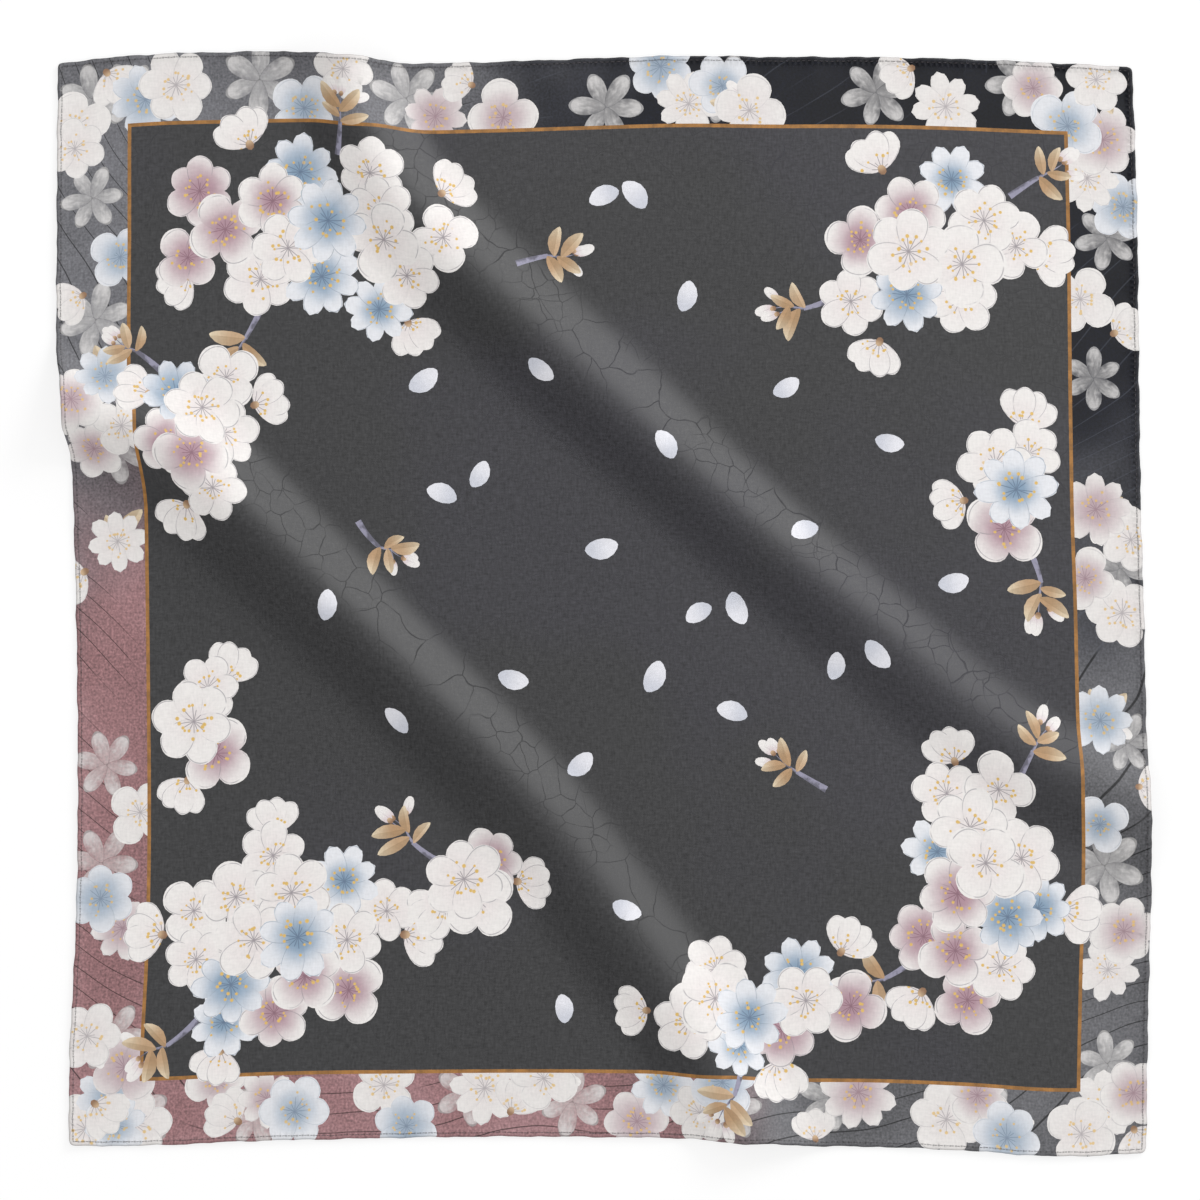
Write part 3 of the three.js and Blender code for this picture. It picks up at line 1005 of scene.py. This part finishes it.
class PrintShader(Shader):
    """The print's colours, built up from the maps and values that the cloth carries.

    Each method for a kind of mark gives its colour, and how far its ink takes off the
    cotton's gleam.
    """

    def __init__(self, name, ink):
        super().__init__(name)
        self.ink = ink
        self.cloth = self.uv("cloth")

    def uv(self, name):
        return self.node("ShaderNodeUVMap", {}, uv_map=name)

    def value(self, name):
        settings = {"attribute_type": "GEOMETRY", "attribute_name": name}
        return self.node("ShaderNodeAttribute", {}, 2, **settings)

    def border(self):
        """Grey, near-black and dusty pink by corner, with fine flowing lines."""
        ground, drawn, line = self.border_ground()
        return self.mix(ground, drawn, line), 0.3 + 0.9 * line

    def border_ground(self):
        """The border's ground, the colour of its lines and where they run."""
        ink = self.ink
        u, v = self.cloth.parts()
        bend = (self.noise(self.cloth, 5.0, 2.0) - 0.5) * 0.3
        farness = (v + bend).rise(0.44, 0.66)
        rightness = (u + bend).rise(0.32, 0.54)
        far = self.mix(ink.far_left, ink.far_right, rightness)
        near = self.mix(ink.near_left, ink.near_right, (u + bend).rise(0.5, 0.72))
        ground = self.mix(near, far, farness)
        cloud = self.noise(self.cloth, 8.0, 3.0).rise(0.25, 0.75)
        ground = self.mix(ground, ink.near_right, cloud * 0.30 * (1 - rightness * farness))
        mottle = self.noise(self.cloth, MOTTLE)
        ground = self.scaled(ground, 0.27 + 0.50 * cloud + 1.0 * mottle)
        pale = self.mix(ground, LINE_ON_BLACK, 0.30)
        drawn = self.mix(self.scaled(ground, 0.24), pale, (rightness * farness).rise(0.45, 0.6))
        return ground, drawn, self.flow_lines(u, v)

    def flow_lines(self, u, v):
        """Thin lines that run side by side in long bent arcs."""
        warp = self.noise(self.cloth, 2.6) - 0.5
        fine = self.noise(self.cloth, 9.0) - 0.5
        du, dv = u - FLOW_CENTRE[0], v - FLOW_CENTRE[1]
        distance = (du * du + dv * dv).root() + warp * 0.24 + fine * 0.012
        line = abs((distance * FLOW_LINES).fraction() - 0.5).rise(0.034, 0.014)
        return line * (warp + fine * 0.7).rise(-0.17, -0.09)

    def field(self):
        """Charcoal, faintly clouded, with crackle lines that show where the cloth gleams."""
        u, v = self.cloth.parts()
        cloud = self.noise(self.cloth, 3.2, 2.0) + (u + v - 1) * 0.15
        colour = self.mix(self.ink.field, FIELD_CLOUD, cloud.rise(0.42, 0.66) * 0.55)
        warped = self.mix(self.cloth, self.noise(self.cloth, 14.0, 3.0, out=1), 0.036)
        fade = self.noise(self.cloth, 7.0)
        wide = self.crackle(warped, WIDE_CRACKLE, 0.018) * fade.rise(0.40, 0.54)
        fine = self.crackle(warped, FINE_CRACKLE, 0.030) * fade.rise(0.55, 0.47) * 0.8
        broken = self.noise(self.cloth, 44.0).rise(0.28, 0.50)
        line = wide.larger(fine) * (0.3 + 0.7 * broken)
        return self.scaled(colour, 1 - 0.06 * line), line * 1.7

    def crackle(self, place, scale, width):
        """Lines round cells of uneven size."""
        inputs = {"Vector": place, "Scale": scale, "Randomness": 0.9}
        settings = {"voronoi_dimensions": "2D", "feature": "DISTANCE_TO_EDGE"}
        return self.node("ShaderNodeTexVoronoi", inputs, **settings).rise(width, width * 0.35)

    def line(self):
        """Ochre, a little worn."""
        worn = self.noise(self.cloth, 90.0, 3.0).rise(0.35, 0.65)
        return self.mix(darker(self.ink.line, 0.86), self.ink.line, worn), 0.6

    def egg(self):
        """How far out a point lies in its petal, 1 on the outline, and its place in it."""
        p, q = self.uv("petal").parts()
        across = q / (1 + SWELL * p)
        return (p * p + across * across).root(), p, across

    def petals(self, depth=1.0):
        """White at the tips, tinted hearts, thin outlines, filaments and ochre anthers."""
        ink = self.ink
        tint, tone = self.value("tint"), self.value("tone")
        pink, blue = tint.is_near(PINK), tint.is_near(BLUE)
        x, y = self.uv("heart").parts()
        radius = (x * x + y * y).root()
        reach, along, across = self.egg()
        tips = self.mix(ink.petal, BLUE_TIP, blue * 0.7)
        heart = self.mix(WHITE_HEART, ink.pink, pink)
        heart = self.mix(heart, ink.blue, blue)
        smudge = self.noise(self.cloth, 60.0, 2.0) - 0.5
        spread = 0.52 + 0.26 * tone + 0.14 * pink
        fade = (radius / spread + smudge * 0.3).rise(0.2, 1.35)
        colour = self.mix(heart, tips, 1 - (1 - fade) * (0.55 + 0.45 * depth))
        shade = across.rise(0.3, 1.05) * 0.045 + along.rise(-0.2, -0.9) * 0.05
        vein = abs((across * 5.0 + 0.5).fraction() - 0.5).rise(0.10, 0.02)
        vein = vein * along.rise(0.75, 0.1) * reach.rise(0.85, 0.6)
        colour = self.scaled(colour, 0.88 + 0.12 * depth - shade - 0.04 * vein)
        line = reach.rise(0.89, 0.915) * reach.rise(0.965, 0.94) * along.rise(-0.75, -0.3)
        ink_grey = self.mix(OUTLINE, BLUE_OUTLINE, blue)
        colour = self.mix(colour, ink_grey, line * smudge.rise(-0.12, 0.06) * (0.55 * depth))
        return self.stamens(colour, x, y, radius, tone, pink, blue, depth), 1.0

    def pale_petals(self):
        """The border's flowers, softer than those inside the frame line."""
        return self.petals(0.45)

    def stamens(self, colour, x, y, radius, tone, pink, blue, depth):
        """Filaments that spread from the heart, and anthers scattered round their ends."""
        dark = self.mix(FILAMENT, PINK_FILAMENT, pink)
        dark = self.mix(dark, BLUE_FILAMENT, blue)
        spoke, chance = self.spokes(x, y, radius, tone, FILAMENTS, 0.0)
        end = 0.22 + 0.20 * (chance * 7.31).fraction()
        filament = abs(spoke).rise(0.014, 0.005) * (radius - end).rise(0.0, -0.04)
        colour = self.mix(colour, dark, filament * (0.30 + 0.36 * depth))
        first = self.anther(spoke, radius - end, chance)
        spoke, chance = self.spokes(x, y, radius, tone, ANTHERS, 0.43)
        second = self.anther(spoke, radius - 0.22 - 0.30 * (chance * 5.17).fraction(), chance)
        dots = first.larger(second)
        return self.mix(colour, self.ink.anther, dots * (0.6 + 0.4 * depth))

    def spokes(self, x, y, radius, tone, count, turn):
        """Distance sideways from the nearest of a ring of spokes, and that spoke's chance."""
        angle = x.maths("ARCTAN2", y, x) * (count / TURN) + count + turn
        cell = angle.whole()
        key = {0: cell.maths("MODULO", cell, count), 1: tone * 91, 2: float(count)}
        chance = self.node(
            "ShaderNodeTexWhiteNoise", {"Vector": self.node("ShaderNodeCombineXYZ", key)}
        )
        sway = angle.fraction() - 0.5 + (chance - 0.5) * 0.6
        return sway * radius * (TURN / count), chance

    def anther(self, spoke, out, chance):
        """A dot at the end of most of the spokes."""
        size = 0.028 + 0.018 * (chance * 9.7).fraction()
        distance = (out * out + spoke * spoke).root() / size
        return distance.rise(1.3, 0.75) * (chance * 3.7).fraction().rise(0.20, 0.24)

    def ghosts(self):
        """Flowers brushed thinly in white, with the border's ground showing through."""
        ground, drawn, _ = self.border_ground()
        reach, along, across = self.egg()
        brushed = self.noise(self.uv("petal"), 1.8, 2.0) - 0.5
        cover = 0.30 + 0.42 * (along + 2.4 * brushed).rise(-0.6, 1.0) + 0.12 * self.value("tone")
        colour = self.mix(ground, THIN_WHITE, cover - 0.12 * across.rise(0.0, 0.9))
        return self.mix(colour, drawn, reach.rise(0.93, 0.98) * 0.45), 0.8

    def loose_petals(self):
        p, q = self.uv("petal").parts()
        pale = self.mix(LOOSE_BASE, LOOSE_TIP, p.rise(-0.8, 0.6))
        return self.scaled(pale, 1 - 0.05 * q.rise(0.0, 1.0)), 1.0

    def buds(self):
        """White with a tinted base and one folded edge."""
        p, q = self.uv("petal").parts()
        colour = self.mix(BUD_BASE, self.ink.petal, p.rise(-0.8, 0.2))
        colour = self.scaled(colour, 1 - 0.09 * q.rise(0.2, 1.0))
        fold = abs(q - 0.25 * p).rise(0.10, 0.04) * p.rise(0.5, 0.0)
        return self.mix(colour, BUD_FOLD, fold * 0.35), 1.0

    def leaves(self):
        """Tan leaves, paler to the tip, with one side darker."""
        p, q = self.uv("petal").parts()
        warm = self.mix(self.ink.leaf, LEAF_WARM, self.value("tone"))
        colour = self.mix(warm, LEAF_TIP, p.rise(-0.4, 1.2) * 0.8)
        colour = self.mix(colour, LEAF_SHADE, q.rise(0.0, 0.10) * 0.36)
        rib = abs(q).rise(0.10, 0.03) * p.rise(0.95, 0.5)
        return self.mix(colour, LEAF_RIB, rib * 0.35), 0.9

    def cups(self):
        p, q = self.uv("petal").parts()
        colour = self.mix(CUP_BASE, CUP_TIP, p.rise(-0.6, 0.9))
        return self.scaled(colour, 1 - 0.16 * q.rise(0.0, 0.9)), 0.9

    def twigs(self):
        """Lilac-grey bark, darker along one edge."""
        bark = self.noise(self.cloth, 120.0, 2.0)
        _, q = self.uv("petal").parts()
        shade = (bark + 0.25 * q).rise(0.66, 0.40)
        return self.mix(darker(self.ink.twig, 0.70), self.ink.twig, shade), 0.9

    def hem(self, cloth, stitch):
        """Painted shade on the turned hem: on its rolled edge, and a painted shadow in the seam's
        dip and puckers.
        """
        side = cloth.side / MM
        run = side - 2 * stitch.inset / MM
        count = stitch_count(cloth, stitch)
        u, v = self.cloth.parts()
        x, y = abs(u - 0.5), abs(v - 0.5)
        inset = side / 2 - side * x.larger(y)
        upright = x.maths("GREATER_THAN", x, y)
        place = u + (v - u) * upright
        phase = ((place - 0.5) * (side / run * count) + count / 2).fraction()
        between = abs(phase - 0.5).rise(0.29, 0.40)
        # Painted shadow along the seam's dip, deepest between the stitches, painted shade on the
        # rolled edge, and slightly darker over the turned band.
        seam = abs(inset - stitch.inset / MM).rise(SEAM_DIP, 0.15)
        edge = inset.rise(ROLL_WIDTH, 0.0)
        turned_in = inset.rise(HEM_WIDTH, HEM_WIDTH - 0.4)
        return 1 - 0.30 * edge - 0.05 * turned_in - seam * (0.08 + 0.42 * between)

    def weave(self, side):
        """Height of the threads as they go over and under, and the yarn's uneven thickness."""
        threads = side / THREAD_SPACING
        slub = self.noise(self.stretched(self.cloth, SLUB_ALONG, SLUB_ACROSS), 1.0)
        slub = slub + self.noise(self.stretched(self.cloth, SLUB_ACROSS, SLUB_ALONG), 1.0)
        x, y = self.stretched(self.cloth, threads, threads).parts()
        warp = abs((x + slub).fraction() - 0.5)
        weft = abs((y + slub).fraction() - 0.5)
        return (1 - warp - weft) * 0.6 + slub * 0.5, slub * 0.5


PRINTS = {
    BORDER: ("border_ground", PrintShader.border),
    FIELD: ("field_ground", PrintShader.field),
    LINE: ("frame_line", PrintShader.line),
    PETAL: ("petals", PrintShader.petals),
    PALE: ("border_petals", PrintShader.pale_petals),
    GHOST: ("grey_petals", PrintShader.ghosts),
    LOOSE: ("loose_petals", PrintShader.loose_petals),
    BUD: ("buds", PrintShader.buds),
    LEAF: ("leaves", PrintShader.leaves),
    CALYX: ("cups", PrintShader.cups),
    TWIG: ("twigs", PrintShader.twigs),
}


def cotton_material(kind, cloth, stitch, ink):
    """Fine cotton lawn with one kind of printed mark in it."""
    name, paint = PRINTS[kind]
    shader = PrintShader(f"cotton_{name}", ink)
    height, slub = shader.weave(2 * half_side(cloth))
    colour, dull = paint(shader)
    grain = 1 + (slub - 0.5) * (1.10 - 0.86 * dull)
    # The yarn's slubs, and the hem's painted shade and shadow.
    colour = shader.scaled(colour, grain * shader.hem(cloth, stitch))
    # The underside shows the print only faintly.
    colour = shader.mix(colour, shader.mix(colour, WASHED, 0.42), shader.value("back"))
    return shader.finish({
        "Base Color": colour,
        # Ink lies on the yarn and takes off its gleam.
        "Roughness": 0.56 + 0.24 * slub + 0.20 * dull,
        "Normal": shader.bump(height, 0.35, 0.00006),
        "Specular IOR Level": 0.5,
    })


def stitch_count(cloth, stitch):
    """Number of stitches along each side."""
    return round((cloth.side - 2 * stitch.inset) / stitch.pitch)


def thread_material(ink):
    """Twisted sewing thread."""
    shader = Shader("hem_thread")
    place = shader.node("ShaderNodeTexCoord", {}, 3)
    fibre = shader.noise(place, 4000.0, 3.0)
    colour = shader.mix(darker(ink.thread, 0.7), ink.thread, fibre.rise(0.35, 0.65))
    return shader.finish({
        "Base Color": colour,
        "Roughness": 0.62 + 0.15 * fibre,
        "Normal": shader.bump(fibre, 0.5, 0.00004),
        "Sheen Weight": 0.15,
    })


def floor_material():
    """A clean pale surface."""
    return Shader("pale_floor").finish({
        "Base Color": (0.35, 0.35, 0.35, 1.0),
        "Roughness": 1.0,
        "Specular IOR Level": 0.0,
        "Emission Color": (1.0, 1.0, 1.0, 1.0),
        "Emission Strength": 0.68,
    })


def show_object(name, mesh, *materials):
    """An object for a mesh that is already in place."""
    piece = bpy.data.objects.new(name, mesh)
    bpy.context.scene.collection.objects.link(piece)
    for material in materials:
        mesh.materials.append(material)
    return piece


# Operators


class HANDKERCHIEF_OT_cloth(bpy.types.Operator):
    """Make the printed cloth with its turned hem."""

    bl_idname = "handkerchief.cloth"
    bl_label = "Make cloth"

    def execute(self, context):
        scene = context.scene
        cloth, stitch, ink = (
            scene.handkerchief_cloth, scene.handkerchief_stitch, scene.handkerchief_ink
        )
        materials = [cotton_material(kind, cloth, stitch, ink) for kind in PRINTS]
        piece = show_object("printed_handkerchief", cloth_mesh(cloth), *materials)
        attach(piece, "root")
        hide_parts(CLOTH_NODE)
        return {"FINISHED"}


class HANDKERCHIEF_OT_stitching(bpy.types.Operator):
    """Sew the hem all round with short straight stitches."""

    bl_idname = "handkerchief.stitching"
    bl_label = "Sew hem"

    def execute(self, context):
        cloth = context.scene.handkerchief_cloth
        stitch = context.scene.handkerchief_stitch
        rng = random.Random(5)
        half = half_side(cloth)
        inset = stitch.inset / MM
        run = half - inset
        count = stitch_count(cloth, stitch)
        ends = []
        for side in ("near", "far", "left", "right"):
            for i in range(count):
                middle = -run + 2 * run * (i + 0.5) / count + rng.uniform(-0.1, 0.1)
                reach = stitch.length / MM / 2 * rng.uniform(0.88, 1.05)
                for place in (middle - reach, middle + reach):
                    ends.append(side_point(side, place, inset + rng.uniform(-0.08, 0.08), half))
        flat = np.array(ends)
        _, upper = printed_face(flat[:, 0], flat[:, 1], cloth)
        ends = (upper + frame_shift(cloth)) * MM
        mesh = self.thread_loops(ends[::2], ends[1::2], stitch.thickness / 2)
        piece = show_object("hem_stitching", mesh, thread_material(context.scene.handkerchief_ink))
        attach(piece, "root")
        return {"FINISHED"}

    def thread_loops(self, starts, ends, radius):
        """A copy of one short rounded length of thread for every stitch."""
        bm = bmesh.new()
        bmesh.ops.create_uvsphere(
            bm, u_segments=6, v_segments=5, radius=1, matrix=Matrix.Rotation(math.pi / 2, 4, "Y")
        )
        bm.verts.index_update()
        shape = [vert.co.copy() for vert in bm.verts]
        loops = [[vert.index for vert in face.verts] for face in bm.faces]
        bm.free()
        points, faces = [], []
        for start, end in zip(map(Vector, starts), map(Vector, ends)):
            along = end - start
            turn = along.to_track_quat("X", "Z").to_matrix()
            middle = (start + end) / 2 + Vector((0, 0, 0.35 * radius))
            size = Matrix.Diagonal((along.length / 2, radius, radius))
            faces += [[len(points) + i for i in loop] for loop in loops]
            points += [middle + turn @ (size @ place) for place in shape]
        mesh = bpy.data.meshes.new("hem_stitching")
        mesh.from_pydata(points, [], faces, shade_flat=False)
        return mesh


class HANDKERCHIEF_OT_stage(bpy.types.Operator):
    """Set the pale floor, the soft lights and the camera overhead."""

    bl_idname = "handkerchief.stage"
    bl_label = "Set stage"

    def execute(self, context):
        stage = context.scene.handkerchief_stage
        self.floor()
        self.lights(context.scene, stage)
        self.camera(context.scene, stage)
        context.scene.view_settings.view_transform = "Standard"
        return {"FINISHED"}

    def floor(self):
        bm = bmesh.new()
        bmesh.ops.create_grid(bm, x_segments=2, y_segments=2, size=FLOOR_REACH)
        bmesh.ops.translate(bm, verts=bm.verts, vec=(0, 0, -FLOOR_DROP))
        mesh = bpy.data.meshes.new("floor")
        bm.to_mesh(mesh)
        bm.free()
        show_object("floor", mesh, floor_material())

    def lights(self, scene, stage):
        world = bpy.data.worlds.new("studio")
        world.use_nodes = True
        background = world.node_tree.nodes["Background"]
        background.inputs["Color"].default_value = (1.0, 1.0, 1.0, 1.0)
        background.inputs["Strength"].default_value = stage.sky
        world.cycles_visibility.glossy = False
        scene.world = world
        self.light(scene, stage, "window", stage.light_power)
        gleam = self.light(scene, stage, "gleam", stage.gleam_power)
        gleam.visible_diffuse = False

    def light(self, scene, stage, name, power):
        """A round light that faces the cloth from the far right."""
        light = bpy.data.lights.new(name, "AREA")
        light.shape = "DISK"
        light.size = stage.light_size
        light.energy = power
        lamp = bpy.data.objects.new(name, light)
        level = stage.light_distance * math.cos(stage.light_height) / DIAGONAL
        lamp.location = (level, level, stage.light_distance * math.sin(stage.light_height))
        lamp.rotation_euler = (-Vector(lamp.location)).to_track_quat("-Z", "Y").to_euler()
        scene.collection.objects.link(lamp)
        return lamp

    def camera(self, scene, stage):
        camera = bpy.data.cameras.new("overhead")
        camera.sensor_width = 36.0
        camera.lens = camera.sensor_width * stage.camera_height / stage.view_width
        camera.clip_end = 20.0
        holder = bpy.data.objects.new("overhead", camera)
        holder.location = (stage.view_x, stage.view_y, stage.camera_height)
        scene.collection.objects.link(holder)
        scene.camera = holder


class HANDKERCHIEF_PT_panel(bpy.types.Panel):
    """Lists the handkerchief's settings and the steps that make it."""

    bl_idname = "HANDKERCHIEF_PT_panel"
    bl_label = "Handkerchief"
    bl_space_type = "VIEW_3D"
    bl_region_type = "UI"
    bl_category = "Handkerchief"

    def draw(self, context):
        for operator in OPERATORS:
            self.layout.operator(operator.bl_idname)
        for name in SETTINGS:
            settings = getattr(context.scene, name)
            for item in settings.bl_rna.properties:
                if item.identifier not in ("rna_type", "name"):
                    self.layout.prop(settings, item.identifier)


SETTINGS = {
    "handkerchief_cloth": ClothSettings,
    "handkerchief_ink": InkSettings,
    "handkerchief_stitch": StitchSettings,
    "handkerchief_stage": StageSettings,
}
OPERATORS = (HANDKERCHIEF_OT_cloth, HANDKERCHIEF_OT_stitching, HANDKERCHIEF_OT_stage)
CLASSES = (*SETTINGS.values(), *OPERATORS, HANDKERCHIEF_PT_panel)


def register():
    for item in CLASSES:
        bpy.utils.register_class(item)
    for name, group in SETTINGS.items():
        setattr(bpy.types.Scene, name, PointerProperty(type=group))


def unregister():
    for name in SETTINGS:
        delattr(bpy.types.Scene, name)
    for item in reversed(CLASSES):
        bpy.utils.unregister_class(item)


def main():
    register()
    bpy.ops.handkerchief.stage()
    bpy.ops.handkerchief.cloth()
    bpy.ops.handkerchief.stitching()


if __name__ == "__main__":
    main()
